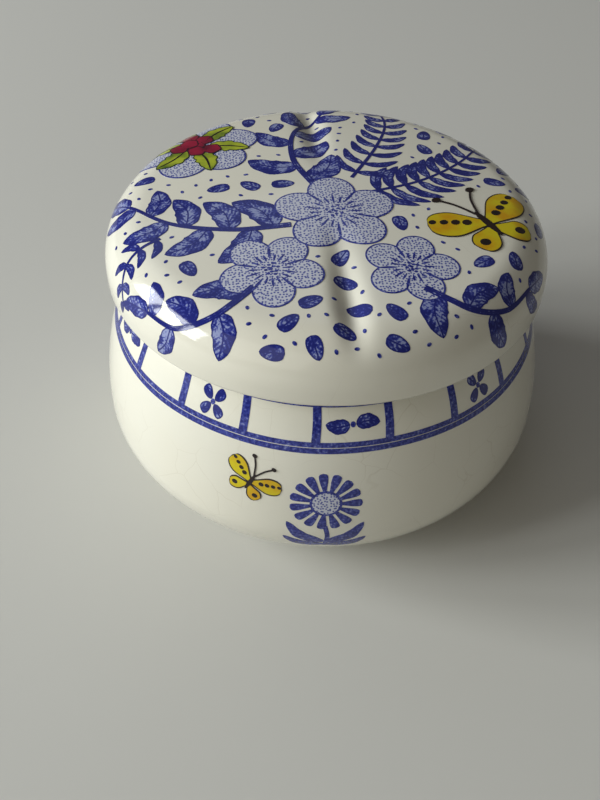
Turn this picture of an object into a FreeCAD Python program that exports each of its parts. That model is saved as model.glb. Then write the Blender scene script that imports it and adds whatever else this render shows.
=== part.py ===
"""Round covered butter dish in slip-cast, glazed earthenware: a bellied dish and a domed lid that lifts off.

Millimetres. The origin is the centre of the foot ring, on the table. +Z is up, and the two finger
pinches in the lid lie along Y.
"""

import FreeCAD, Part
import math
import os

from FreeCAD import Vector

# Driving dimensions of the dish
NECK_DIAMETER = 114.0        # outside of the dish at its mouth, where the lid sits
DISH_HEIGHT = 72.5           # table to the flat top of the lip
BELLY_SWELL = 12.4           # how far the belly stands out past the neck, each side
BELLY_HEIGHT = 27.5          # height of the widest circle
HEEL_RADIUS = 21.5           # the turn from the belly in towards the base
HEEL_SWEEP = 50.0            # degrees of that turn
FOOT_DIAMETER = 84.0         # outside of the foot ring on the table
FOOT_WIDTH = 4.0             # of the ring that touches the table
FOOT_HEIGHT = 2.5            # how far the ring holds the base off the table
FOOT_FLARE = 1.5             # how far the ring's outer side leans out as it rises
WALL = 4.5                   # thickness that slip casting leaves everywhere
LIP_ROUND = 1.4              # edges of the lip
FOOT_ROUND = 0.8             # edges of the foot ring

# Driving dimensions of the lid
LID_OVERHANG = 8.0           # how far the lid's edge stands out past the neck
LID_SHELF = 4.0              # thickness of the flat ring that sits on the lip
LID_SIDE = 0.6               # upright side between that ring and the start of the shoulder
LID_SHOULDER_RADIUS = 14.0
LID_CROWN_RISE = 3.2         # how much higher the middle is than the top of the shoulder
LID_EDGE_ROUND = 1.8         # lower outside edge
FLANGE_CLEARANCE = 1.2       # between the locating flange and the mouth of the dish, each side
FLANGE_DEPTH = 5.0           # how far the flange reaches down into the dish
FLANGE_WALL = 3.5
FLANGE_ROUND = 1.0           # lower edges of the flange

# The two finger pinches, pressed into the lid opposite each other
PINCH_RADIUS = 7.0           # of the round finger-shaped hollow
PINCH_START = 14.0           # where its bottom leaves the crown, from the middle of the lid
PINCH_DEPTH = 3.0            # at the shoulder
PINCH_LAND = 2.0             # plain side left between the pinch and the top of the edge round
PINCH_BLEND = 5.0            # how softly its edges run into the lid
PINCH_OVERRUN = 20.0         # degrees that the finger runs on past the lid's side

# What follows from them
NECK_RADIUS = NECK_DIAMETER / 2
BELLY_RADIUS = NECK_RADIUS + BELLY_SWELL
FOOT_RADIUS = FOOT_DIAMETER / 2
LID_RADIUS = NECK_RADIUS + LID_OVERHANG
AXIS = (Vector(0, 0, 0), Vector(0, 0, 1))
TOUCHING = 0.01              # closer than this counts as on the line or surface


def at(radius, height):
    """A point of a half section, in the XZ plane."""
    return Vector(radius, 0, height)


def toward(degrees):
    """Unit vector in the half section, measured from straight outwards up towards the axis of turning."""
    return at(math.cos(math.radians(degrees)), math.sin(math.radians(degrees)))


def angle_from(centre, point):
    """Degrees of the direction from centre to point, in the half section."""
    return math.degrees(math.atan2(point.z - centre.z, point.x - centre.x))


def arc(centre, radius, start, end):
    """Circular arc in the half section, from one angle to another, in degrees."""
    ends = [centre + toward(a) * radius for a in (start, (start + end) / 2, end)]
    return Part.Arc(*ends).toShape()


def path(*points):
    """Straight edges through the points."""
    return [Part.LineSegment(a, b).toShape() for a, b in zip(points, points[1:])]


def first(edge):
    return edge.valueAt(edge.FirstParameter)


def last(edge):
    return edge.valueAt(edge.LastParameter)


def turned(edges):
    """The solid that a closed half section makes when it is turned about the axis."""
    section = Part.Face(Part.Wire(Part.__sortEdges__(edges)))
    return section.revolve(*AXIS, 360)


def edges_on(solid, shape):
    """The solid's edges whose middle lies on the shape, leaving out the points where a surface closes."""
    real = [edge for edge in solid.Edges if not edge.Degenerated]
    middles = [edge.valueAt((edge.FirstParameter + edge.LastParameter) / 2) for edge in real]
    return [edge for edge, middle in zip(real, middles)
            if shape.distToShape(Part.Vertex(middle))[0] < TOUCHING]


def round_edges(solid, radius, *places):
    """Round the circular edges that run through these points of the half section."""
    rings = [Part.Circle(Vector(0, 0, p.z), Vector(0, 0, 1), p.x).toShape() for p in places]
    chosen = edges_on(solid, Part.Compound(rings))
    return solid.makeFillet(radius, chosen).Solids[0]


def dish_skin(inset):
    """Edges of the dish's side from mouth to base, as three arcs, moved in from the outside by inset."""
    reach = DISH_HEIGHT - BELLY_HEIGHT
    side_radius = (reach ** 2 + BELLY_SWELL ** 2) / (2 * BELLY_SWELL)
    side_centre = at(BELLY_RADIUS - side_radius, BELLY_HEIGHT)
    top = math.degrees(math.asin(reach / (side_radius - inset)))
    side = arc(side_centre, side_radius - inset, top, 0)

    heel_centre = at(BELLY_RADIUS - HEEL_RADIUS, BELLY_HEIGHT)
    heel = arc(heel_centre, HEEL_RADIUS - inset, 0, -HEEL_SWEEP)

    heel_end = heel_centre + toward(-HEEL_SWEEP) * HEEL_RADIUS
    foot = at(FOOT_RADIUS + FOOT_FLARE, FOOT_HEIGHT)
    run = heel_end - foot
    base_radius = run.Length ** 2 / (2 * run.dot(toward(-HEEL_SWEEP)))
    base_centre = heel_end - toward(-HEEL_SWEEP) * base_radius
    base = arc(base_centre, base_radius - inset, -HEEL_SWEEP, angle_from(base_centre, foot))
    return [side, heel, base]


MOUTH_RADIUS = first(dish_skin(WALL)[0]).x


def make_dish():
    """Bellied dish with a flat lip for the lid, a flat floor and a foot ring under its base."""
    outside = dish_skin(0)
    inside = dish_skin(WALL)
    lip = path(first(inside[0]), first(outside[0]))
    foot_inner = FOOT_RADIUS - FOOT_WIDTH
    underside = path(
        last(outside[-1]),
        at(FOOT_RADIUS, 0),
        at(foot_inner, 0),
        at(foot_inner, FOOT_HEIGHT),
        at(0, FOOT_HEIGHT),
        at(0, last(inside[-1]).z),
        last(inside[-1]),
    )
    dish = turned(outside + inside + lip + underside)
    dish = round_edges(dish, LIP_ROUND, first(inside[0]), first(outside[0]))
    return round_edges(dish, FOOT_ROUND, at(FOOT_RADIUS, 0), at(foot_inner, 0))


def lid_skin(inset):
    """Edges of the lid's dome from the middle to the side, as two arcs, moved in by inset."""
    flat = LID_RADIUS - LID_SHOULDER_RADIUS
    shoulder_centre = at(flat, DISH_HEIGHT + LID_SHELF + LID_SIDE)
    crown_to_shoulder = (flat ** 2 + LID_CROWN_RISE ** 2) / (2 * LID_CROWN_RISE)
    crown_radius = crown_to_shoulder + LID_SHOULDER_RADIUS
    crown_centre = at(0, shoulder_centre.z + LID_SHOULDER_RADIUS + LID_CROWN_RISE - crown_radius)
    turn = angle_from(crown_centre, shoulder_centre)
    crown = arc(crown_centre, crown_radius - inset, 90, turn)
    shoulder = arc(shoulder_centre, LID_SHOULDER_RADIUS - inset, turn, 0)
    return [crown, shoulder]


def pinch(growth, turned_by):
    """One finger-shaped hollow along +Y, as a solid to take away, grown all round by growth.

    Its bottom runs straight from the crown to the shoulder and then turns down until it leaves the side.
    """
    crown = lid_skin(0)[0]
    crown_centre = crown.Curve.Center
    start_height = crown_centre.z + math.sqrt(crown.Curve.Radius ** 2 - PINCH_START ** 2)
    start = at(PINCH_START, start_height)
    bend = last(crown) - at(0, PINCH_DEPTH)
    leave = at(LID_RADIUS, DISH_HEIGHT + LID_EDGE_ROUND + PINCH_LAND)

    run = (bend - start).normalize()
    outward = Vector(-run.z, 0, run.x)
    to_finger_axis = outward * PINCH_RADIUS
    chord = leave - bend
    bend_radius = -chord.Length ** 2 / (2 * chord.dot(outward))
    bend_centre = bend - outward * bend_radius
    lead_in = start - run * PINCH_RADIUS
    finger_axis = path(lead_in + to_finger_axis, bend + to_finger_axis)
    finger_axis.append(arc(
        bend_centre,
        bend_radius + PINCH_RADIUS,
        angle_from(bend_centre, bend),
        angle_from(bend_centre, leave) - PINCH_OVERRUN,
    ))
    finger_tip = Part.Circle(lead_in + to_finger_axis, run, PINCH_RADIUS + growth).toShape()
    finger = Part.Wire(finger_axis).makePipeShell([Part.Wire(finger_tip)], True, False)
    finger.rotate(*AXIS, 90 + turned_by)
    return finger


def make_lid():
    """Domed lid of one thickness, with a flat seat, a locating flange and two pinched finger grips."""
    flange_outer = MOUTH_RADIUS - FLANGE_CLEARANCE
    flange_inner = flange_outer - FLANGE_WALL
    flange_end = DISH_HEIGHT - FLANGE_DEPTH
    shelf_top = DISH_HEIGHT + LID_SHELF
    outside = lid_skin(0)
    inside = lid_skin(WALL)

    body = turned(outside + path(
        last(outside[-1]),
        at(LID_RADIUS, DISH_HEIGHT),
        at(flange_outer, DISH_HEIGHT),
        at(flange_outer, flange_end),
        at(0, flange_end),
        first(outside[0]),
    ))
    body = round_edges(body, LID_EDGE_ROUND, at(LID_RADIUS, DISH_HEIGHT))
    hollow = turned(inside + path(
        last(inside[-1]),
        at(LID_RADIUS - WALL, shelf_top),
        at(flange_inner, shelf_top),
        at(flange_inner, flange_end),
        at(0, flange_end),
        first(inside[0]),
    ))
    for turned_by in (0, 180):
        finger = pinch(0, turned_by)
        body = body.cut(finger)
        body = body.makeFillet(PINCH_BLEND, edges_on(body, finger.Shells[0]))
        hollow = hollow.cut(pinch(WALL, turned_by))

    lid = body.cut(hollow).Solids[0]
    return round_edges(lid, FLANGE_ROUND, at(flange_outer, flange_end), at(flange_inner, flange_end))


os.makedirs("parts", exist_ok=True)
for node, solid in {"dish": make_dish(), "lid": make_lid()}.items():
    solid.exportStep(f"parts/{node}.step")
    print(node, solid.ShapeType, "valid" if solid.isValid() else "NOT VALID", solid.BoundBox)
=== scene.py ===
# %% [markdown]
# # A covered butter dish in printed earthenware
# The dish and its lid are made as slip-cast pieces, with about one wall thickness throughout. The
# decoration is a cobalt transfer print under a clear glaze, with touches of yellow, crimson and
# green enamel. The stems and flowers stand at listed places, and simple rules draw the rest.
# The imported model gives the overall boxes, so the first cell loads it and keeps its box.

# %% Load the imported model
import math

import bmesh
import bpy
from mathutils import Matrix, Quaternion, Vector
from mathutils.kdtree import KDTree


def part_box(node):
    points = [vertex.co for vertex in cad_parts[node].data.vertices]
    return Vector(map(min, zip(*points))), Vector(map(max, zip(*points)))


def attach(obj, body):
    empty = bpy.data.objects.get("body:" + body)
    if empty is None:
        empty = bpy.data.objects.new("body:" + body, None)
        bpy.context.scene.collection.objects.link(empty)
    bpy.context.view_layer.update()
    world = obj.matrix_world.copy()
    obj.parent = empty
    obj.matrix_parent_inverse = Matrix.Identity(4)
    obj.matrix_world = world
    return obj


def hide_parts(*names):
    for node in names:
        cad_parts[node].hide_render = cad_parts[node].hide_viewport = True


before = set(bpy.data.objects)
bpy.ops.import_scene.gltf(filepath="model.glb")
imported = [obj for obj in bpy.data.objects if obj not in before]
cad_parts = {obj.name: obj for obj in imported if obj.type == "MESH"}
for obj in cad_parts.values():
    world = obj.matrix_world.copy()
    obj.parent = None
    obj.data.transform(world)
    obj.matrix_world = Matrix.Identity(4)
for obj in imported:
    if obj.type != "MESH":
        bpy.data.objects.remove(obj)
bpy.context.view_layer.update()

MM = 0.001
dish_low, dish_high = (Vector(corner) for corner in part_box("dish"))
lid_low, lid_high = (Vector(corner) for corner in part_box("lid"))
print("dish", dish_low, dish_high, "lid", lid_low, lid_high)

# %% [markdown]
# ## Camera
# The dish is seen from about 30 cm away and 42 degrees above the table. A camera could be aimed
# with a constraint, but a look-at point and a small roll say the same and leave nothing live in
# the scene.

# %% Camera
CAMERA_DISTANCE = 315.3 * MM
CAMERA_ELEVATION = math.radians(42.06)
CAMERA_TURN = math.radians(8.5)      # the near pinch points this far right of the camera
CAMERA_ROLL = math.radians(1.22)
ORBIT_HEIGHT = 32.5 * MM
SENSOR_MM, LENS_MM = 36, 42.75
LOOK_AT = Vector((-9.3, -20.8, 32.5)) * MM

camera_data = bpy.data.cameras.new("camera")
camera_data.sensor_width = SENSOR_MM
camera_data.lens = LENS_MM
camera = bpy.data.objects.new("camera", camera_data)
bpy.context.scene.collection.objects.link(camera)
reach = CAMERA_DISTANCE * math.cos(CAMERA_ELEVATION)
camera.location = (
    -reach * math.sin(CAMERA_TURN),
    -reach * math.cos(CAMERA_TURN),
    ORBIT_HEIGHT + CAMERA_DISTANCE * math.sin(CAMERA_ELEVATION),
)
aim = (LOOK_AT - camera.location).to_track_quat("-Z", "Y")
camera.rotation_mode = "QUATERNION"
camera.rotation_quaternion = aim @ Quaternion((0, 0, 1), CAMERA_ROLL)
bpy.context.scene.camera = camera
print("camera", camera.location, "lens", camera_data.lens)

# %% [markdown]
# ## Sizes
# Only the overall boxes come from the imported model. The walls, arcs and rounds between them repeat
# the construction's sizes, in metres. The pinches don't: here they are softer and shallower than
# the construction's finger cut, so their sizes are this model's own.

# %% Sizes of the dish and the lid
WALL = 4.5 * MM
DISH_HEIGHT = dish_high.z
BELLY_RADIUS = dish_high.x
LID_RADIUS = lid_high.x
LID_OVERHANG = 8.0 * MM
NECK_RADIUS = LID_RADIUS - LID_OVERHANG
BELLY_SWELL = BELLY_RADIUS - NECK_RADIUS
BELLY_HEIGHT = 27.5 * MM
HEEL_RADIUS = 21.5 * MM
HEEL_SWEEP = math.radians(50)
FOOT_RADIUS = 42.0 * MM
FOOT_WIDTH = 4.0 * MM
FOOT_HEIGHT = 2.5 * MM
FOOT_FLARE = 1.5 * MM
LIP_ROUND = 1.4 * MM
FOOT_ROUND = 0.8 * MM
LID_SHELF = 4.0 * MM
LID_SIDE = 0.6 * MM
SHOULDER_RADIUS = 14.0 * MM
EDGE_ROUND = 1.8 * MM
FLANGE_CLEARANCE = 1.2 * MM
FLANGE_WALL = 3.5 * MM
FLANGE_ROUND = 1.0 * MM
FLANGE_END = lid_low.z
PINCH_DEPTH = 2.3 * MM
PINCH_HALF_WIDTH = 3.4 * MM
PINCH_GROWS = (8 * MM, 50 * MM)      # distances from the middle of the lid
PINCH_FADES = (47 * MM, 67 * MM)
SHARP_CORNER = math.radians(50)      # a turn that shades as an edge
MERGE_WITHIN = 0.001 * MM
ROUND_STEP = 0.4 * MM                # spacing of points along a small round
FOOT_STEP = 0.3 * MM                 # along the foot's, which are the smallest
INNER_SHOULDER_STEP, INNER_CROWN_STEP = 2 * MM, 3 * MM
ABOVE_SHELF = 0.1 * MM               # points higher than this over the shelf belong to the dome
SKIN_STEP = 1.0 * MM                 # spacing of points along a curved skin
TURN_STEPS = 384                     # spacing of points round the body


def arc(centre_r, centre_z, radius, start, end, step=SKIN_STEP):
    """Points of an arc in the half section, from one angle to another, both ends included."""
    count = max(3, math.ceil(abs(end - start) * radius / step))
    angles = [start + (end - start) * i / count for i in range(count + 1)]
    return [Vector((centre_r + radius * math.cos(a), 0, centre_z + radius * math.sin(a))) for a in angles]


def spin_body(name, outline):
    """A closed turned body: the outline is spun round the axis, and its ends meet on the axis."""
    shape = bmesh.new()
    points = [shape.verts.new(p) for p in outline]
    edges = [shape.edges.new(pair) for pair in zip(points, points[1:])]
    bmesh.ops.spin(shape, geom=points + edges, cent=(0, 0, 0), axis=(0, 0, 1), angle=2 * math.pi,
                   steps=TURN_STEPS, use_merge=True)
    bmesh.ops.remove_doubles(shape, verts=shape.verts, dist=MERGE_WITHIN)
    bmesh.ops.recalc_face_normals(shape, faces=shape.faces)
    print(name, len(shape.faces), "faces, volume", round(shape.calc_volume() * 1e6, 1), "cm3")
    return shape


def to_object(name, shape, material):
    """A finished object at the origin, smooth except at real corners."""
    mesh = bpy.data.meshes.new(name)
    shape.to_mesh(mesh)
    shape.free()
    mesh.shade_smooth()
    mesh.set_sharp_from_angle(angle=SHARP_CORNER)
    mesh.materials.append(material)
    made = bpy.data.objects.new(name, mesh)
    bpy.context.scene.collection.objects.link(made)
    return made


# %% [markdown]
# ## The dish
# A potter would turn a plaster model and cast the dish in its mould. In Blender the same shape
# could be a Screw modifier or a subdivided cylinder. Spinning a half section made of true arcs
# keeps the reflections in the glaze even, because neighbouring arcs share a tangent.

# %% The dish
side_reach = DISH_HEIGHT - BELLY_HEIGHT
side_radius = (side_reach ** 2 + BELLY_SWELL ** 2) / (2 * BELLY_SWELL)
side_centre_r = BELLY_RADIUS - side_radius
heel_centre_r = BELLY_RADIUS - HEEL_RADIUS
heel_end = Vector((heel_centre_r + HEEL_RADIUS * math.cos(HEEL_SWEEP), 0,
                   BELLY_HEIGHT - HEEL_RADIUS * math.sin(HEEL_SWEEP)))
heel_out = Vector((math.cos(HEEL_SWEEP), 0, -math.sin(HEEL_SWEEP)))
foot_top = Vector((FOOT_RADIUS + FOOT_FLARE, 0, FOOT_HEIGHT))
base_run = heel_end - foot_top
base_radius = base_run.length_squared / (2 * base_run.dot(heel_out))
base_centre = heel_end - heel_out * base_radius
base_end = math.atan2(foot_top.z - base_centre.z, foot_top.x - base_centre.x)


def dish_skin(inset, below_top):
    """Half section of the dish's side, from just under the mouth to the base."""
    radius = side_radius - inset
    top = math.asin((side_reach - below_top) / radius)
    side = arc(side_centre_r, BELLY_HEIGHT, radius, top, 0)
    heel = arc(heel_centre_r, BELLY_HEIGHT, HEEL_RADIUS - inset, 0, -HEEL_SWEEP)
    base = arc(base_centre.x, base_centre.z, base_radius - inset, -HEEL_SWEEP, base_end)
    return side + heel[1:] + base[1:]


outer_skin = dish_skin(0, LIP_ROUND)
inner_skin = dish_skin(WALL, LIP_ROUND)
mouth_radius = side_centre_r + math.sqrt((side_radius - WALL) ** 2 - side_reach ** 2)
lip_z = DISH_HEIGHT - LIP_ROUND
quarter = math.pi / 2
foot_inner = FOOT_RADIUS - FOOT_WIDTH
dish_outline = (
    [Vector((0, 0, inner_skin[-1].z))]
    + inner_skin[::-1]
    + arc(inner_skin[0].x + LIP_ROUND, lip_z, LIP_ROUND, 2 * quarter, quarter, ROUND_STEP)[1:]
    + arc(outer_skin[0].x - LIP_ROUND, lip_z, LIP_ROUND, quarter, 0, ROUND_STEP)[:-1]
    + outer_skin
    + arc(FOOT_RADIUS - FOOT_ROUND, FOOT_ROUND, FOOT_ROUND, 0, -quarter, FOOT_STEP)
    + arc(foot_inner + FOOT_ROUND, FOOT_ROUND, FOOT_ROUND, -quarter, -2 * quarter, FOOT_STEP)
    + [Vector((foot_inner, 0, FOOT_HEIGHT)), Vector((0, 0, FOOT_HEIGHT))]
)
dish_shape = spin_body("dish", dish_outline)

# %% [markdown]
# ## The lid
# The lid has two hollows for finger and thumb that grow from near the middle to the shoulder, as
# if soft clay had been pinched. They could be cut with a boolean, but clay gives way smoothly, so
# the points of the spun dome are pushed in along their normals.

# %% The lid
flat_radius = LID_RADIUS - SHOULDER_RADIUS
shoulder_z = DISH_HEIGHT + LID_SHELF + LID_SIDE
crown_rise = lid_high.z - shoulder_z - SHOULDER_RADIUS
crown_to_shoulder = (flat_radius ** 2 + crown_rise ** 2) / (2 * crown_rise)
crown_radius = crown_to_shoulder + SHOULDER_RADIUS
crown_z = lid_high.z - crown_radius
crown_edge = math.atan2(shoulder_z - crown_z, flat_radius)
CROWN_RUN = crown_radius * (math.pi / 2 - crown_edge)
SHOULDER_RUN = SHOULDER_RADIUS * crown_edge


def dome(run, angle, above=0.0):
    """The point of the unpinched dome at a distance run from its middle, and its outward normal."""
    if run < CROWN_RUN:
        tilt, centre, radius = math.pi / 2 - run / crown_radius, Vector((0, crown_z)), crown_radius
    else:
        tilt = max(0, crown_edge - (run - CROWN_RUN) / SHOULDER_RADIUS)
        centre, radius = Vector((flat_radius, shoulder_z)), SHOULDER_RADIUS
    r = centre.x + (radius + above) * math.cos(tilt)
    z = centre.y + (radius + above) * math.sin(tilt) - max(0, run - CROWN_RUN - SHOULDER_RUN)
    normal = Vector((math.cos(tilt) * math.cos(angle), math.cos(tilt) * math.sin(angle), math.sin(tilt)))
    return Vector((r * math.cos(angle), r * math.sin(angle), z)), normal


def dome_run(point):
    """The inverse: how far a point of either skin of the dome lies from the middle, and its normal."""
    r = math.hypot(point.x, point.y)
    angle = math.atan2(point.y, point.x)
    tilt = math.atan2(point.z - crown_z, r)
    if tilt > crown_edge:
        run = crown_radius * (math.pi / 2 - tilt)
    else:
        tilt = math.atan2(point.z - shoulder_z, r - flat_radius)
        run = CROWN_RUN + SHOULDER_RADIUS * (crown_edge - tilt)
    return run, dome(run, angle)[1]


def ease(value, start, end):
    """0 before start, 1 after end, and a smooth step between."""
    t = min(1, max(0, (value - start) / (end - start)))
    return t * t * (3 - 2 * t)


def pinch_depth(run, across):
    """How deep the pinch is at a distance from the middle and from the line through both pinches."""
    strength = ease(run, *PINCH_GROWS) * (1 - ease(run, *PINCH_FADES))
    return PINCH_DEPTH * strength * math.exp(-((across / PINCH_HALF_WIDTH) ** 2))


flange_outer = mouth_radius - FLANGE_CLEARANCE
flange_inner = flange_outer - FLANGE_WALL
shelf_top = DISH_HEIGHT + LID_SHELF
flange_z = FLANGE_END + FLANGE_ROUND
lid_outline = (
    arc(0, crown_z, crown_radius, quarter, crown_edge)
    + arc(flat_radius, shoulder_z, SHOULDER_RADIUS, crown_edge, 0)[1:]
    + arc(LID_RADIUS - EDGE_ROUND, DISH_HEIGHT + EDGE_ROUND, EDGE_ROUND, 0, -quarter, ROUND_STEP)
    + [Vector((flange_outer, 0, DISH_HEIGHT))]
    + arc(flange_outer - FLANGE_ROUND, flange_z, FLANGE_ROUND, 0, -quarter, ROUND_STEP)
    + arc(flange_inner + FLANGE_ROUND, flange_z, FLANGE_ROUND, -quarter, -2 * quarter, ROUND_STEP)
    + [Vector((flange_inner, 0, shelf_top)), Vector((LID_RADIUS - WALL, 0, shelf_top))]
    + arc(flat_radius, shoulder_z, SHOULDER_RADIUS - WALL, 0, crown_edge, INNER_SHOULDER_STEP)
    + arc(0, crown_z, crown_radius - WALL, crown_edge, quarter, INNER_CROWN_STEP)[1:]
)
lid_shape = spin_body("lid", lid_outline)
for vert in lid_shape.verts:
    if vert.co.z > shelf_top + ABOVE_SHELF:
        run, normal = dome_run(vert.co)
        vert.co -= normal * pinch_depth(run, vert.co.x)
print("lid dome", round(CROWN_RUN / MM, 1), "mm of crown and", round(SHOULDER_RUN / MM, 1), "mm of shoulder")

# %% [markdown]
# ## Nodes and colours
# Every finish below is built from nodes. One helper adds a node with its settings and links, and
# one turns the hex colours of a paint chart, which are sRGB, into the linear values that light
# needs. Pattern sizes are given in millimetres and turned into scales per metre.

# %% Helpers for materials
def linear(hex_colour):
    """An sRGB hex colour as linear red, green, blue and alpha."""
    channels = [int(hex_colour[i:i + 2], 16) / 255 for i in (1, 3, 5)]
    return [c / 12.92 if c <= 0.04045 else ((c + 0.055) / 1.055) ** 2.4 for c in channels] + [1.0]


def node(tree, kind, inputs=None, **settings):
    """Adds one node. Each input gets a value, or the socket that feeds it."""
    made = tree.nodes.new("ShaderNode" + kind)
    for name, value in settings.items():
        setattr(made, name, value)
    for name, value in (inputs or {}).items():
        if isinstance(value, bpy.types.NodeSocket):
            tree.links.new(value, made.inputs[name])
        else:
            made.inputs[name].default_value = value
    return made


def per_metre(size_mm):
    """The texture scale that makes one cell of a pattern this many millimetres across."""
    return 1 / (size_mm * MM)


# %% [markdown]
# ## Clear glaze
# An earthenware glaze is a thin coat of glass, well under a millimetre: an index near 1.5, very
# little roughness, and slow waves left by dipping. All the pieces share it, because the print
# lies under the same glass, so one function makes the shader and only the colour differs.
# The waves read Object coordinates, which run on from the clay into the print without a step.

# %% The glaze that covers everything
GLAZE_WAVES_MM = 16
GLAZE_WAVE_HEIGHT = 0.12 * MM
GLAZE_ROUGHNESS = 0.09
GLAZE_IOR = 1.5


def under_glaze(name):
    """A new material with the glaze's gloss. Returns it, its nodes, the shader and the coordinates."""
    material = bpy.data.materials.new(name)
    material.use_nodes = True
    tree = material.node_tree
    shader = tree.nodes["Principled BSDF"]
    shader.inputs["Roughness"].default_value = GLAZE_ROUGHNESS
    shader.inputs["IOR"].default_value = GLAZE_IOR
    place = node(tree, "TexCoord").outputs["Object"]
    waves = node(tree, "TexNoise", {"Vector": place, "Scale": per_metre(GLAZE_WAVES_MM), "Detail": 1.0})
    bump = node(tree, "Bump", {"Height": waves.outputs["Fac"], "Strength": 0.5,
                               "Distance": GLAZE_WAVE_HEIGHT})
    tree.links.new(bump.outputs["Normal"], shader.inputs["Normal"])
    return material, tree, shader, place


# %% [markdown]
# ## Ivory earthenware
# The body is white earthenware under a slightly yellow glaze. The glaze has crazed here and
# there: hairlines, faintly stained, between cells about 15 mm across. They could be a Voronoi
# texture alone, but real crazing comes in patches, so a slow noise masks it. A foot ring that
# stands on the kiln shelf is usually wiped bare, so its edge is matt here.

# %% Ivory earthenware
IVORY, IVORY_WARM, CRAZE_STAIN, BARE_CLAY = "#E8E7DC", "#E4DFCE", "#B4A88E", "#DDD2BA"
CRAZE_CELL_MM, CRAZE_LINE_MM = 15, 0.14
CRAZE_STRENGTH, BARE_ROUGHNESS = 0.26, 0.7
CRAZE_WANDER = 4 * MM                # how far the cells are pushed out of true
WANDER_MM, PATCH_MM, CLOUD_MM = 9, 38, 45
BARE_UP_TO, GLAZED_FROM = 0.5 * MM, 0.9 * MM


def ivory_earthenware():
    """The glazed body: warm clouds, patches of stained crazing and a bare foot."""
    material, tree, shader, place = under_glaze("ivory_glazed_earthenware")
    cloud = node(tree, "TexNoise", {"Vector": place, "Scale": per_metre(CLOUD_MM), "Detail": 2.0})
    tone = node(tree, "Mix", {0: cloud.outputs["Fac"], 6: linear(IVORY), 7: linear(IVORY_WARM)},
                data_type="RGBA")
    wander = node(tree, "TexNoise", {"Vector": place, "Scale": per_metre(WANDER_MM), "Detail": 2.0})
    push = node(tree, "VectorMath", {0: wander.outputs["Color"], 1: (CRAZE_WANDER,) * 3},
                operation="MULTIPLY")
    bent = node(tree, "VectorMath", {0: place, 1: push.outputs[0]}, operation="ADD")
    cells = node(tree, "TexVoronoi", {"Vector": bent.outputs[0], "Scale": per_metre(CRAZE_CELL_MM)},
                 feature="DISTANCE_TO_EDGE")
    crack = node(tree, "MapRange", {"Value": cells.outputs["Distance"], "From Min": 0.0,
                                    "From Max": CRAZE_LINE_MM / CRAZE_CELL_MM,
                                    "To Min": CRAZE_STRENGTH, "To Max": 0.0})
    patch = node(tree, "TexNoise", {"Vector": place, "Scale": per_metre(PATCH_MM)})
    where = node(tree, "MapRange", {"Value": patch.outputs["Fac"], "From Min": 0.48, "From Max": 0.62})
    shown = node(tree, "Math", {0: crack.outputs["Result"], 1: where.outputs["Result"]}, operation="MULTIPLY")
    stained = node(tree, "Mix", {0: shown.outputs[0], 6: tone.outputs[2], 7: linear(CRAZE_STAIN)},
                   data_type="RGBA")
    height = node(tree, "SeparateXYZ", {0: place})
    bare = node(tree, "MapRange", {"Value": height.outputs["Z"], "From Min": BARE_UP_TO,
                                   "From Max": GLAZED_FROM, "To Min": 1.0, "To Max": 0.0})
    final = node(tree, "Mix", {0: bare.outputs["Result"], 6: stained.outputs[2], 7: linear(BARE_CLAY)},
                 data_type="RGBA")
    gloss = node(tree, "MapRange", {"Value": bare.outputs["Result"], "To Min": GLAZE_ROUGHNESS,
                                    "To Max": BARE_ROUGHNESS})
    tree.links.new(final.outputs[2], shader.inputs["Base Color"])
    tree.links.new(gloss.outputs["Result"], shader.inputs["Roughness"])
    return material


earthenware = ivory_earthenware()
print("made", earthenware.name)

# %% [markdown]
# ## Cobalt transfer inks
# Such a print is engraved on copper, pulled on tissue and rubbed onto the biscuit. An engraver
# shades in three ways, and each is one material here. Leaves are bitten and hatched from the
# midrib outwards. Petals are stippled with dots under a millimetre apart. Lines are solid, and
# the tissue leaves them a little broken. The patterns read the print attribute that each ink
# shape carries: millimetres along it, across it, and in from its edge.

# %% Cobalt inks
COBALT, COBALT_DARK, COBALT_PALE = "#3A4499", "#1F2676", "#8F98C4"
STIPPLE_GROUND = "#C9CCDA"
OUTLINE_MM, MIDRIB_MM = 0.42, 0.30
STIPPLE_MM, DOT_MM = 0.90, 0.27
VEIN_MM, VEIN_LEAN, VEIN_DEPTH = 1.5, 1.1, 0.07
BITE_MM, GRAIN_MM, GRAIN_DEPTH = 3.2, 0.55, 0.75
LINE_GRAIN_MM = 0.8
SOFT_FROM, SOFT_TO = 0.7, 1.3       # an ink's edge fades over this share of its width


def print_place(tree):
    """The print attribute, in millimetres: along the shape, across it and in from its edge."""
    return node(tree, "Attribute", attribute_name="print").outputs["Vector"]


def print_axes(tree):
    """The same, as three separate numbers."""
    return node(tree, "SeparateXYZ", {0: print_place(tree)})


def outlined(tree, axes, fill, line_colour):
    """A fill with a drawn outline."""
    edge = node(tree, "MapRange", {"Value": axes.outputs["Z"], "From Min": OUTLINE_MM * SOFT_FROM,
                                   "From Max": OUTLINE_MM * SOFT_TO, "To Min": 1.0, "To Max": 0.0})
    return node(tree, "Mix", {0: edge.outputs["Result"], 6: fill, 7: linear(line_colour)},
                data_type="RGBA").outputs[2]


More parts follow.
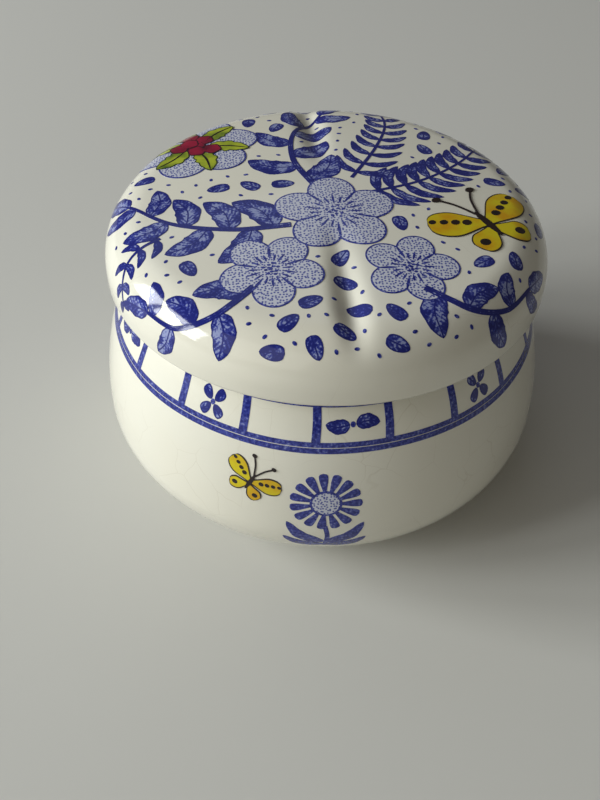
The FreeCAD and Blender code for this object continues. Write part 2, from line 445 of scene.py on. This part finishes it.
def engraved_cobalt():
    """The ink of the leaves: dark and bitten, hatched along the veins, with a midrib."""
    material, tree, shader, place = under_glaze("cobalt_engraved_leaf")
    axes = print_axes(tree)
    side = node(tree, "Math", {0: axes.outputs["Y"]}, operation="ABSOLUTE")
    lean = node(tree, "Math", {0: side.outputs[0], 1: -VEIN_LEAN, 2: axes.outputs["X"]},
                operation="MULTIPLY_ADD")
    turns = node(tree, "Math", {0: lean.outputs[0], 1: 2 * math.pi / VEIN_MM}, operation="MULTIPLY")
    veins = node(tree, "Math", {0: turns.outputs[0]}, operation="SINE")
    cloud = node(tree, "TexNoise", {"Vector": place, "Scale": per_metre(BITE_MM), "Detail": 1.0})
    grain = node(tree, "TexNoise", {"Vector": place, "Scale": per_metre(GRAIN_MM), "Detail": 2.0})
    body = node(tree, "Math", {0: veins.outputs[0], 1: VEIN_DEPTH, 2: cloud.outputs["Fac"]},
                operation="MULTIPLY_ADD")
    bitten = node(tree, "Math", {0: grain.outputs["Fac"], 1: GRAIN_DEPTH, 2: body.outputs[0]},
                  operation="MULTIPLY_ADD")
    inner = node(tree, "MapRange", {"Value": axes.outputs["Z"], "From Min": 0.4, "From Max": 2.2,
                                    "To Min": -0.10, "To Max": 0.06})
    depth = node(tree, "Math", {0: bitten.outputs[0], 1: inner.outputs["Result"]}, operation="ADD")
    dark = node(tree, "MapRange", {"Value": depth.outputs[0], "From Min": 0.76, "From Max": 0.92})
    pale = node(tree, "MapRange", {"Value": depth.outputs[0], "From Min": 0.93, "From Max": 1.04})
    shade = node(tree, "Mix", {0: dark.outputs["Result"], 6: linear(COBALT_DARK), 7: linear(COBALT)},
                 data_type="RGBA")
    light = node(tree, "Mix", {0: pale.outputs["Result"], 6: shade.outputs[2], 7: linear(COBALT_PALE)},
                 data_type="RGBA")
    rib = node(tree, "MapRange", {"Value": side.outputs[0], "From Min": MIDRIB_MM * 0.5,
                                  "From Max": MIDRIB_MM, "To Min": 1.0, "To Max": 0.0})
    ribbed = node(tree, "Mix", {0: rib.outputs["Result"], 6: light.outputs[2], 7: linear(COBALT_DARK)},
                  data_type="RGBA")
    tree.links.new(outlined(tree, axes, ribbed.outputs[2], COBALT_DARK), shader.inputs["Base Color"])
    return material


def stippled_cobalt():
    """The ink of the petals: cobalt dots on a pale ground."""
    material, tree, shader = under_glaze("cobalt_stippled_petal")[:3]
    flat = print_place(tree)
    dots = node(tree, "TexVoronoi", {"Vector": flat, "Scale": 1 / STIPPLE_MM, "Randomness": 0.7},
                voronoi_dimensions="2D")
    dot_share = DOT_MM / STIPPLE_MM
    dot = node(tree, "MapRange", {"Value": dots.outputs["Distance"], "From Min": dot_share * SOFT_FROM,
                                  "From Max": dot_share * SOFT_TO, "To Min": 1.0, "To Max": 0.0})
    petal = node(tree, "Mix", {0: dot.outputs["Result"], 6: linear(STIPPLE_GROUND), 7: linear(COBALT)},
                 data_type="RGBA")
    tree.links.new(petal.outputs[2], shader.inputs["Base Color"])
    return material


def line_cobalt():
    """The ink of the lines: solid cobalt that wears thin in places."""
    material, tree, shader, place = under_glaze("cobalt_line")
    grain = node(tree, "TexNoise", {"Vector": place, "Scale": per_metre(LINE_GRAIN_MM), "Detail": 2.0})
    thin = node(tree, "MapRange", {"Value": grain.outputs["Fac"], "From Min": 0.40, "From Max": 0.56})
    worn = node(tree, "MapRange", {"Value": grain.outputs["Fac"], "From Min": 0.60, "From Max": 0.70,
                                   "To Max": 0.6})
    ink = node(tree, "Mix", {0: thin.outputs["Result"], 6: linear(COBALT_DARK), 7: linear(COBALT)},
               data_type="RGBA")
    broken = node(tree, "Mix", {0: worn.outputs["Result"], 6: ink.outputs[2], 7: linear(COBALT_PALE)},
                  data_type="RGBA")
    tree.links.new(broken.outputs[2], shader.inputs["Base Color"])
    return material


leaf_ink, petal_ink, line_ink = engraved_cobalt(), stippled_cobalt(), line_cobalt()
print("inks", leaf_ink.name, petal_ink.name, line_ink.name)

# %% [markdown]
# ## Enamel touches
# The colours are brushed on by hand over the print: thin yellow that pools to orange, crimson, a
# yellow-green, and dark brown for a butterfly's body. Brushed enamel is uneven, so each colour is a blend of
# two along a soft noise, and the printed outline still shows at its edge.

# %% Enamels
BRUSH_MM = 7


def brushed_enamel(name, thin, pooled, line_colour):
    """A colour laid by brush, from thin to pooled, inside a printed outline."""
    material, tree, shader, place = under_glaze(name)
    axes = print_axes(tree)
    brush = node(tree, "TexNoise", {"Vector": place, "Scale": per_metre(BRUSH_MM), "Detail": 2.0})
    pool = node(tree, "MapRange", {"Value": brush.outputs["Fac"], "From Min": 0.42, "From Max": 0.68})
    colour = node(tree, "Mix", {0: pool.outputs["Result"], 6: linear(thin), 7: linear(pooled)},
                  data_type="RGBA")
    drawn = outlined(tree, axes, colour.outputs[2], line_colour)
    tree.links.new(drawn, shader.inputs["Base Color"])
    return material


INK_BROWN = "#241A1E"
yellow_enamel = brushed_enamel("yellow_enamel", "#D6C51C", "#D19C10", INK_BROWN)
crimson_enamel = brushed_enamel("crimson_enamel", "#98173A", "#67102C", "#3A1024")
green_enamel = brushed_enamel("green_enamel", "#AEB934", "#4F6B22", "#26341F")
brown_enamel = brushed_enamel("brown_enamel", "#2B1C18", "#1A1418", INK_BROWN)

# %% [markdown]
# ## Drawing with ink
# The design is drawn flat, in millimetres, as an engraver would draw it. Two shapes are enough: a
# stroke, which is a grid bent along a smooth line, and a blot, which is a grid rolled into a disc.
# It could be painted as an image on a UV map, but mesh shapes keep crisp edges at any size. A
# shape's height in the flat drawing is its order, so later inks lie over earlier ones.

# %% Strokes and blots
INK_STEP = 0.9                       # millimetres between points, as fine as the glaze needs
FEWEST_STEPS = 14                    # so that the smallest petal still has a round end
FEWEST_TURNS = 12                    # and the smallest dot is still round
WIDTH_SAMPLES = 24                   # where a stroke's length and width are measured
BLOT_SAMPLES = 36                    # where a blot's reach is
MERGE_MM = 0.01


def new_ink():
    """An empty flat drawing whose points carry the print attribute."""
    ink = bmesh.new()
    ink.verts.layers.float_vector.new("print")
    return ink


def line_point(points, t):
    """The point at t, from 0 to 1, on a smooth line through the given points."""
    spans = len(points) - 1
    span = min(int(t * spans), spans - 1)
    u = t * spans - span
    before, start, end, after = (Vector(points[min(max(span + k, 0), spans)]) for k in (-1, 0, 1, 2))
    return 0.5 * (2 * start + (end - before) * u + (2 * before - 5 * start + 4 * end - after) * u ** 2
                  + (3 * start - before - 3 * end + after) * u ** 3)


def stroke(ink, points, half_width, order=0):
    """A stroke along a smooth line. half_width gives millimetres at each t from 0 to 1."""
    shares = [i / WIDTH_SAMPLES for i in range(WIDTH_SAMPLES + 1)]
    samples = [line_point(points, t) for t in shares]
    length = sum((b - a).length for a, b in zip(samples, samples[1:]))
    widest = max(half_width(t) for t in shares)
    steps = max(FEWEST_STEPS, math.ceil(length / INK_STEP))
    rows = 2 * math.ceil(widest / INK_STEP)
    made = bmesh.ops.create_grid(ink, x_segments=steps, y_segments=rows, size=1)["verts"]
    printed = ink.verts.layers.float_vector["print"]
    for vert in made:
        t, side = (vert.co.x + 1) / 2, vert.co.y
        ahead = line_point(points, min(1, t + 0.01)) - line_point(points, max(0, t - 0.01))
        ahead.normalize()
        width = max(0, half_width(t))
        middle = line_point(points, t)
        inside = min((1 - abs(side)) * width, t * length, (1 - t) * length)
        vert[printed] = (t * length, side * width, inside)
        vert.co = (middle.x - ahead.y * side * width, middle.y + ahead.x * side * width, order)
    bmesh.ops.remove_doubles(ink, verts=made, dist=MERGE_MM)


def blot(ink, centre, radius, order=0):
    """A filled round shape. radius gives millimetres at each angle."""
    around = [radius(2 * math.pi * i / BLOT_SAMPLES) for i in range(BLOT_SAMPLES)]
    rings = max(2, math.ceil(max(around) / INK_STEP))
    turns = max(FEWEST_TURNS, math.ceil(2 * math.pi * max(around) / INK_STEP))
    made = bmesh.ops.create_grid(ink, x_segments=rings, y_segments=turns, size=1)["verts"]
    printed = ink.verts.layers.float_vector["print"]
    for vert in made:
        ring, angle = (vert.co.x + 1) / 2, math.pi * (vert.co.y + 1)
        reach = radius(angle)
        x = centre[0] + reach * ring * math.cos(angle)
        y = centre[1] + reach * ring * math.sin(angle)
        vert[printed] = (x, y, (1 - ring) * reach)
        vert.co = (x, y, order)
    bmesh.ops.remove_doubles(ink, verts=made, dist=MERGE_MM)


def even(half):
    return lambda t: half


def tapered(start, end):
    return lambda t: start + (end - start) * t


def pointed(half):
    """Thick in the middle and drawn out to nothing at both ends, as a brush leaves it."""
    return lambda t: half * math.sin(math.pi * t) ** 0.8


def leafy(half):
    """Full near the base, drawn out to a point, with a slightly uneven edge."""
    return lambda t: half * 3.0 * t ** 0.7 * (1 - t) ** 0.9 * (1 + 0.05 * math.sin(22 * t + half))


def drop(half):
    """A round end that narrows to a point."""
    return lambda t: half * 2.6 * math.sqrt(t) * (1 - t) ** 0.8 * (0.9 + 0.1 * t)


def club(half, cap=0.2, root=0.35):
    """Narrow at the root and rounded at the end, as a daisy's petal or a butterfly's wing is."""
    return lambda t: (half * (root + (1 - root) * ease(t, 0, 1 - cap))
                      * math.sqrt(max(0, 1 - (max(0, t - 1 + cap) / cap) ** 2)))


def toothed(half, teeth):
    """A leaf with a toothed edge."""
    return lambda t: leafy(half)(t) * (1 + 0.16 * abs(math.sin(math.pi * teeth * t)))


def oval(across, up, turn=0.0):
    """The radius of an oval at each angle."""
    def radius(angle):
        a = angle - math.radians(turn)
        return across * up / math.hypot(up * math.cos(a), across * math.sin(a))
    return radius


def lobed(size, lobes, depth=0.08, turn=0.0):
    """The radius of a round petal with soft lobes."""
    return lambda angle: size * (1 + depth * math.cos(lobes * (angle - math.radians(turn))))


print("drawing tools ready, point spacing", INK_STEP, "mm")

# %% [markdown]
# ## Laying the ink on the clay
# A transfer is laid on a curved body and rubbed down until it follows it. The same happens here:
# each flat drawing is extruded into a thin closed film, and its points are sent to the surface
# by the formulas that shaped it. A shrinkwrap modifier could do that too, but it would have to
# search for the nearest face, and the formulas also follow the pinches exactly.

# %% Draping a drawing over the lid or the dish
INK_LIFT = 0.05 * MM                 # how far the first ink stands above the clay
INK_LAYER = 0.03 * MM                # and how much further each later one does
INK_ROOT = 0.12 * MM                 # how deep the film is rooted below the surface


def on_lid(x, y, above):
    """The place of a point of the lid's drawing, which is measured from the middle of the dome."""
    run, angle = math.hypot(x, y) * MM, math.atan2(y, x)
    point, normal = dome(run, angle, above)
    return point - normal * pinch_depth(run, point.x)


def on_dish(x, z, above):
    """The place of a point of the dish's drawing: millimetres round the belly from the front, and height."""
    angle = x * MM / BELLY_RADIUS - math.pi / 2
    rise = z * MM - BELLY_HEIGHT
    centre, radius = (side_centre_r, side_radius) if rise > 0 else (heel_centre_r, HEEL_RADIUS)
    tilt = math.asin(rise / radius)
    r = centre + (radius + above) * math.cos(tilt)
    height = BELLY_HEIGHT + (radius + above) * math.sin(tilt)
    return Vector((r * math.cos(angle), r * math.sin(angle), height))


def lay_ink(name, ink, surface, body, material):
    """Turns a flat drawing into a thin film on its body."""
    drawn = len(ink.verts)
    bmesh.ops.recalc_face_normals(ink, faces=ink.faces)
    rooted = bmesh.ops.extrude_face_region(ink, geom=ink.faces)["geom"]
    below = {part for part in rooted if isinstance(part, bmesh.types.BMVert)}
    for vert in ink.verts:
        above = -INK_ROOT if vert in below else INK_LIFT + INK_LAYER * vert.co.z
        vert.co = surface(vert.co.x, vert.co.y, above)
    bmesh.ops.recalc_face_normals(ink, faces=ink.faces)
    open_edges = sum(1 for edge in ink.edges if not edge.is_manifold)
    print(name, drawn, "points in the drawing,", len(ink.faces), "faces,", open_edges, "open edges")
    laid = to_object(name, ink, material)
    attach(laid, body)


# %% [markdown]
# ## The two bodies
# The spun dish and lid become objects here, now that the glaze exists, and stand for the packed
# pieces of the same name.

# %% Dish and lid with their glaze
for name, shape in (("dish", dish_shape), ("lid", lid_shape)):
    body = to_object(name + "_body", shape, earthenware)
    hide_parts(name)
    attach(body, name)
    print(body.name, "stands for", name)

# %% [markdown]
# ## Leafy branches on the lid
# Leafy branches grow outwards over the lid, as on many blue and white printed florals. Their
# leaves stand left and right in turn and grow smaller towards the tip. Each leaf could be placed
# by hand. Here a loop sets them out along the stem, so that a branch is only the points of its
# stem, in millimetres from the middle of the lid, and how many leaves it carries.

# %% Branches and leaves
def polar(centre, degrees, reach):
    """The point at a distance and direction from a centre."""
    angle = math.radians(degrees)
    return Vector(centre) + Vector((math.cos(angle), math.sin(angle))) * reach


def along(stem, t):
    """The point at t on a stem, and the direction in which the stem grows there."""
    step = 0.02
    ahead = line_point(stem, min(1, t + step)) - line_point(stem, max(0, t - step))
    return line_point(stem, t), ahead.normalized()


def leaf(ink, root, ahead, side, reach, half, order):
    """A leaf that leaves a stem sideways and then bends forwards with it."""
    out = Vector((-ahead.y, ahead.x)) * side
    middle = root + (out + 0.35 * ahead).normalized() * reach * 0.5
    tip = root + (out + 0.75 * ahead).normalized() * reach
    stroke(ink, [root, middle, tip], leafy(half), order)


def branch(ink, stem, leaves, length, half):
    """A curved stem with leaves on alternate sides and one at its tip."""
    for k in range(leaves):
        t = 0.12 + 0.80 * k / (leaves - 1)
        root, ahead = along(stem, t)
        shrink = 1 - 0.35 * t
        leaf(ink, root, ahead, 1 if k % 2 else -1, length * shrink, half * shrink, 0.5 * (k % 3))
    end, ahead = along(stem, 1)
    reach = 0.8 * length
    stroke(ink, [end, end + ahead * reach / 2, end + ahead * reach], leafy(0.75 * half), 1)
    stroke(ink, stem, tapered(1.1, 0.5), 2)


leaf_print = new_ink()
BRANCHES = [                          # points of the stem, leaves, length of a leaf, half width
    ([(-12, -14), (-28, -14), (-45, -8), (-57, 4)], 8, 18, 4.6),
    ([(-24, -38), (-34, -46), (-46, -46), (-54, -38)], 5, 14, 3.8),
    ([(20, -42), (31, -49), (43, -47), (52, -38)], 5, 14, 3.8),
    ([(-3, 4), (-8, 20), (-6, 38), (4, 52)], 7, 17, 4.4),
]
for stem, leaves, length, half in BRANCHES:
    branch(leaf_print, stem, leaves, length, half)
print(len(BRANCHES), "branches drawn")

# %% [markdown]
# ## Ferns
# A fern frond is a branch with thin leaflets in pairs. The same leaf function draws them, so the
# frond's own function only sets out the pairs.

# %% Ferns
def frond(ink, stem, pairs, length, half):
    """A fern frond: a fine stem with leaflets on both sides that grow shorter towards its end."""
    stroke(ink, stem, tapered(0.6, 0.3), 1)
    for k in range(pairs):
        t = 0.08 + 0.88 * k / (pairs - 1)
        root, ahead = along(stem, t)
        for side in (-1, 1):
            leaf(ink, root, ahead, side, length * (1 - 0.55 * t), half, 0)


fern_print = new_ink()
FRONDS = [                            # points of the stem, pairs, length of a leaflet, half width
    ([(12, 0), (28, 6), (43, 18), (56, 36)], 12, 14, 1.7),
    ([(8, 8), (18, 26), (24, 44), (22, 62)], 11, 12, 1.5),
    ([(-48, -14), (-58, -20), (-64, -30)], 5, 8, 1.3),
]
for stem, pairs, length, half in FRONDS:
    frond(fern_print, stem, pairs, length, half)
print(len(FRONDS), "fronds drawn")

# %% [markdown]
# ## Blossoms
# Each blossom is a ring of stippled petals that run together, with one outline round the whole.
# Every petal is laid twice, a slightly larger one in solid ink first and the stippled one over it,
# so the ink shows only round the outside. A short line parts each petal from the next, and
# stamens and seeds fill the heart.

# %% Blossoms
PETAL_LINE_MM = 0.52
PETAL_MIDDLE, PETAL_REACH, PETAL_HALF = 0.62, 0.44, 0.40    # shares of the blossom's size
GOLDEN_TURN = 137.5                   # degrees between one seed and the next in a flower's heart
SEEDS = 12
STAMENS = ((-20, 0.46), (0, 0.54), (20, 0.46))    # degrees off the petal's middle, share of its size
line_print, petal_print = new_ink(), new_ink()


def blossom(centre, size, petals, turn, order):
    """A flower of stippled petals round a heart of stamens and seeds."""
    blot(petal_print, centre, oval(0.34 * size, 0.34 * size), order + 0.3)
    for k in range(petals):
        facing = turn + 360 * k / petals
        middle = polar(centre, facing, PETAL_MIDDLE * size)
        reach, half = PETAL_REACH * size, PETAL_HALF * size
        blot(line_print, middle, oval(reach + PETAL_LINE_MM, half + PETAL_LINE_MM, facing), order)
        blot(petal_print, middle, oval(reach, half, facing), order + 0.4 + 0.05 * k)
        between = facing + 180 / petals
        parting = [polar(centre, between, share * size) for share in (0.30, 0.52, 0.76)]
        stroke(line_print, parting, pointed(0.42), order + 0.9)
        for fan, tip in STAMENS:
            shares = (0.24, 0.38, tip)
            stroke(line_print, [polar(centre, facing + fan, share * size) for share in shares],
                   pointed(0.34), order + 0.9)
    for k in range(SEEDS):
        seed = polar(centre, GOLDEN_TURN * k, 0.055 * size * math.sqrt(k))
        blot(line_print, seed, oval(0.55, 0.45), order + 1)


BLOSSOMS = [                          # middle, size, petals, turn, order
    ((1, -9), 16, 5, 18, 2.4),
    ((-19, -32), 13, 5, 54, 1.2),
    ((18, -34), 12, 5, 0, 1.2),
    ((-37, 34), 18, 6, 10, 3),
]
for flower in BLOSSOMS:
    blossom(*flower)
print(len(BLOSSOMS), "blossoms drawn")

# %% [markdown]
# ## Berries in the far blossom
# The largest blossom has a heart of crimson berries, with yellow-green leaves between them and
# the petals. Both are enamels that were brushed on over the print.

# %% Berries and fresh leaves
fresh_leaves, lid_marks, berries = new_ink(), new_ink(), new_ink()
HEART = BLOSSOMS[-1][0]
FRESH_LEAVES, BERRIES = 6, 7
for k in range(FRESH_LEAVES):
    facing = 360 * k / FRESH_LEAVES + 40
    midrib = [polar(HEART, facing, 4), polar(HEART, facing + 8, 10), polar(HEART, facing + 4, 17)]
    stroke(fresh_leaves, midrib, toothed(3.1, 5), 6 + k % 2)
    stroke(lid_marks, midrib, pointed(0.32), 8)
for k in range(BERRIES):
    place = polar(HEART, GOLDEN_TURN * k, 2.6 * math.sqrt(k))
    blot(berries, place, lobed(3.0, 5, 0.06, 40 * k), 8 + k % 3)
print(BERRIES, "berries and", FRESH_LEAVES, "fresh leaves")

# %% [markdown]
# ## Butterflies
# A yellow butterfly rests on the lid and smaller ones on the dish. All are the same drawing at
# different sizes: four wings, a body, spots along the wings and two feelers with knobs. It is
# drawn once, pointing along +X, and a turn, a size and a place put it where it belongs.

# %% A butterfly
def butterfly(wings, marks, place, size, turn, order):
    """Draws wings in one ink and the body, spots and feelers in another."""
    c, s = math.cos(math.radians(turn)), math.sin(math.radians(turn))

    def put(x, y):
        return (place[0] + size * (c * x - s * y), place[1] + size * (s * x + c * y))

    feeler = even(max(0.22, 0.3 * size))
    for side in (-1, 1):
        fore = [put(1.5, side * 0.5), put(4.5, side * 8), put(8, side * 16.5)]
        stroke(wings, fore, club(5.6 * size, 0.36, 0.3), order)
        hind = [put(-1, side * 0.5), put(-4.5, side * 5), put(-7, side * 9.5)]
        stroke(wings, hind, club(4.3 * size, 0.42, 0.35), order + 1)
        for k in range(4):
            spot = oval(size * (1.2 - 0.1 * k), size * (1.5 - 0.1 * k), turn)
            blot(marks, put(4.0 + 1.5 * k, side * (5.5 + 3.0 * k)), spot, order + 2)
        blot(marks, put(-5.2, side * 6.6), oval(size * 1.4, size * 1.7, turn), order + 2)
        stroke(marks, [put(6, side * 0.4), put(12, side * 3), put(16, side * 6)], feeler, order + 2)
        blot(marks, put(16.5, side * 6.4), oval(size * 1.0, size * 1.5, turn), order + 3)
    stroke(marks, [put(-5, 0), put(1, 0), put(7, 0)], pointed(max(0.6, 1.2 * size)), order + 3)


lid_wings = new_ink()
butterfly(lid_wings, lid_marks, (44, -16), 1.0, 118, 5)
print("butterfly on the lid drawn")

# %% [markdown]
# ## Buds and specks in the gaps
# Such a print leaves no large bare patch: falling buds and specks fill what the branches leave.
# They could be scattered by hand. Here places are tried along a spiral, and one is kept when
# nothing is drawn too close to it, so the gaps fill evenly and the same way each time.

# %% Buds and specks
BUD_ROOM, SPECK_ROOM = 4.4, 2.2      # millimetres from the middle of one to the nearest ink
BUD_TRIES, SPECK_TRIES = 900, 1600   # places on the spiral
BUD_REACH = 3.4                      # half of a bud's length
PRINT_REACH = 63                     # millimetres from the middle of the lid to the last of them


def clear_places(room, tries):
    """Places on a spiral over the lid that have nothing drawn within so many millimetres."""
    inks = (leaf_print, fern_print, line_print, petal_print, lid_wings, lid_marks)
    drawn = [vert.co.xy for ink in inks for vert in ink.verts]
    nearby = KDTree(len(drawn))
    for index, place in enumerate(drawn):
        nearby.insert(place.to_3d(), index)
    nearby.balance()
    kept = []
    for k in range(tries):
        place = polar((0, 0), GOLDEN_TURN * k, PRINT_REACH * math.sqrt((k + 1) / tries))
        apart = all((place - other).length > 2 * room for other in kept)
        if apart and nearby.find(place.to_3d())[2] > room:
            kept.append(place)
    return kept


buds = clear_places(BUD_ROOM, BUD_TRIES)
for k, place in enumerate(buds):
    facing = GOLDEN_TURN * k
    ends = [polar(place, facing, reach) for reach in (-BUD_REACH, 0, BUD_REACH)]
    stroke(leaf_print, ends, drop(2.1), 0)
specks = clear_places(SPECK_ROOM, SPECK_TRIES)
for k, place in enumerate(specks):
    blot(line_print, place, oval(0.75, 0.5, GOLDEN_TURN * k), 0)
print(len(buds), "buds and", len(specks), "specks in the gaps")

# %% Lay the lid's inks
lay_ink("lid_leaf_print", leaf_print, on_lid, "lid", leaf_ink)
lay_ink("lid_fern_print", fern_print, on_lid, "lid", leaf_ink)
lay_ink("lid_petal_print", petal_print, on_lid, "lid", petal_ink)
lay_ink("lid_line_print", line_print, on_lid, "lid", line_ink)
lay_ink("lid_fresh_leaves", fresh_leaves, on_lid, "lid", green_enamel)
lay_ink("lid_berries", berries, on_lid, "lid", crimson_enamel)
lay_ink("lid_butterfly_wings", lid_wings, on_lid, "lid", yellow_enamel)
lay_ink("lid_butterfly_marks", lid_marks, on_lid, "lid", brown_enamel)

# %% [markdown]
# ## The band round the dish
# Under the lid's edge runs a printed band: a double line below, a thin line above, and upright
# bars that part it into equal panels. Every second panel holds a motif, a pair of leaves or a
# four-leaved rosette in turn, and the others stay bare.

# %% The printed band
BAND_LOW, BAND_HIGH = 57.0, 68.0     # heights of the band's lines, in millimetres
BAND_PANELS = 20
PANEL_TURN = 360 / BAND_PANELS


def round_mm(degrees):
    """Millimetres round the belly for a number of degrees."""
    return math.radians(degrees) * BELLY_RADIUS / MM


def ring_stroke(ink, z, half, waver):
    """A line all the way round at a height, drawn in twelve lengths that meet."""
    for start in range(-180, 180, 30):
        ends = [round_mm(start + 10 * i) for i in range(4)]
        stroke(ink, [(x, z + waver * math.sin(x * 0.11)) for x in ends], even(half))


band_print, band_fill = new_ink(), new_ink()
ring_stroke(band_print, BAND_LOW - 0.85, 0.78, 0.12)
ring_stroke(band_print, BAND_LOW + 0.85, 0.72, 0.12)
ring_stroke(band_print, BAND_HIGH, 0.28, 0.05)
band_middle = (BAND_LOW + BAND_HIGH) / 2 + 0.8
for k in range(BAND_PANELS):
    x = round_mm(PANEL_TURN * (k - 0.5))
    stroke(band_print, [(x, BAND_LOW + 1), (x + 0.2, band_middle), (x, BAND_HIGH)], even(1.3), 1)
    centre = (round_mm(PANEL_TURN * k), band_middle)
    if k % 4 == 0:
        for side in (0, 180):
            root, tip = polar(centre, side, 0.9), polar(centre, side, 8.2)
            stroke(band_fill, [root, polar(centre, side + 8, 4.5), tip], leafy(2.0))
    if k % 4 == 2:
        for facing in (45, 135, 225, 315):
            stroke(band_fill, [polar(centre, facing, reach) for reach in (5.0, 3.0, 0.8)], drop(1.5))
    if k % 2 == 0:
        blot(band_print, centre, oval(0.8, 0.8), 1)
print("band drawn with", BAND_PANELS, "panels")

# %% [markdown]
# ## Daisies and butterflies on the dish
# Three upright daisies stand round the dish at equal turns, each with two pairs of leaves and a
# small butterfly beside it. One drawing in a loop makes all three.

# %% Daisies
dish_wings, dish_marks = new_ink(), new_ink()
daisy_print, eye_print = new_ink(), new_ink()
DAISY_PETALS = 15
DAISY_HEIGHT = 39.0                  # millimetres from the table to a daisy's middle
DAISY_PLACES = (-6, 114, 234)        # degrees round from the front
for place in DAISY_PLACES:
    middle = Vector((round_mm(place), DAISY_HEIGHT))
    for k in range(DAISY_PETALS):
        facing = 360 * k / DAISY_PETALS
        petal = [polar(middle, facing, reach) for reach in (3.8, 7.0, 10.4)]
        stroke(daisy_print, petal, club(1.35), k % 2)
    blot(daisy_print, middle, oval(4.6, 4.6), 2)
    blot(eye_print, middle, oval(3.9, 3.9), 2.5)
    stem = [middle - Vector((0, 9)), middle - Vector((-0.8, 14)), middle - Vector((0, 20))]
    stroke(daisy_print, stem, even(0.7), 0)
    for side in (-1, 1):
        for drop_down, out, up, half in ((17, 11, 9, 1.9), (19, 12, 4, 1.6)):
            root = middle - Vector((0, drop_down))
            tip = root + Vector((side * out, up))
            bend = (root + tip) / 2 + Vector((side * 1.5, -1.2))
            stroke(daisy_print, [root, bend, tip], leafy(half), 1)
    butterfly(dish_wings, dish_marks, middle + Vector((-22, 4)), 0.52, 62, 3)
lay_ink("dish_band_print", band_print, on_dish, "dish", line_ink)
lay_ink("dish_band_fill", band_fill, on_dish, "dish", leaf_ink)
lay_ink("dish_daisy_print", daisy_print, on_dish, "dish", line_ink)
lay_ink("dish_daisy_eye", eye_print, on_dish, "dish", petal_ink)
lay_ink("dish_butterfly_wings", dish_wings, on_dish, "dish", yellow_enamel)
lay_ink("dish_butterfly_marks", dish_marks, on_dish, "dish", brown_enamel)

# %% [markdown]
# ## Floor and light
# The dish stands on a plain pale floor. A tall window of three panes lights it from the left, low
# enough to be seen in the glaze. A wide soft light in front and a dim cool sky fill the rest.
# Area lights are used, since their shape is what a glossy glaze reflects.

# %% Floor
FLOOR_SIZE = 40.0
FLOOR_COLOUR, FLOOR_ROUGHNESS = "#D1D0CB", 0.85
floor_shape = bmesh.new()
bmesh.ops.create_grid(floor_shape, x_segments=1, y_segments=1, size=FLOOR_SIZE / 2)
floor_material = bpy.data.materials.new("pale_floor")
floor_material.use_nodes = True
floor_shader = floor_material.node_tree.nodes["Principled BSDF"]
floor_shader.inputs["Base Color"].default_value = linear(FLOOR_COLOUR)
floor_shader.inputs["Roughness"].default_value = FLOOR_ROUGHNESS
to_object("floor", floor_shape, floor_material)

# %% Light
AIM = Vector((0, 0, 0.06))
ROOM_LIGHT, ROOM_STRENGTH = "#D3CDC0", 0.15


def softbox(name, azimuth, elevation, distance, width, height, power, hex_colour):
    """A rectangular light that faces the dish from a direction given in degrees."""
    data = bpy.data.lights.new(name, "AREA")
    data.shape = "RECTANGLE"
    data.size, data.size_y = width, height
    data.energy = power
    data.color = linear(hex_colour)[:3]
    lamp = bpy.data.objects.new(name, data)
    a, e = math.radians(azimuth), math.radians(elevation)
    outward = Vector((math.cos(a) * math.cos(e), math.sin(a) * math.cos(e), math.sin(e)))
    lamp.location = AIM + outward * distance
    lamp.rotation_mode = "QUATERNION"
    lamp.rotation_quaternion = (-outward).to_track_quat("-Z", "Y")
    bpy.context.scene.collection.objects.link(lamp)


softbox("window_pane_1", 165, 22, 2.6, 0.60, 1.04, 30.0, "#F7FBFA")
softbox("window_pane_2", 182, 22, 2.6, 0.60, 1.04, 30.0, "#F7FBFA")
softbox("window_pane_3", 197, 22, 2.6, 0.40, 1.04, 18.0, "#F7FBFA")
softbox("room_front", 228, 32, 1.8, 1.6, 1.2, 4.6, "#FBFAF2")
softbox("sky_fill", 110, 50, 1.8, 1.6, 1.0, 1.8, "#DDE8FF")

world = bpy.data.worlds.new("room")
world.use_nodes = True
background = world.node_tree.nodes["Background"]
background.inputs["Color"].default_value = linear(ROOM_LIGHT)
background.inputs["Strength"].default_value = ROOM_STRENGTH
bpy.context.scene.world = world
bpy.context.scene.view_settings.view_transform = "Standard"
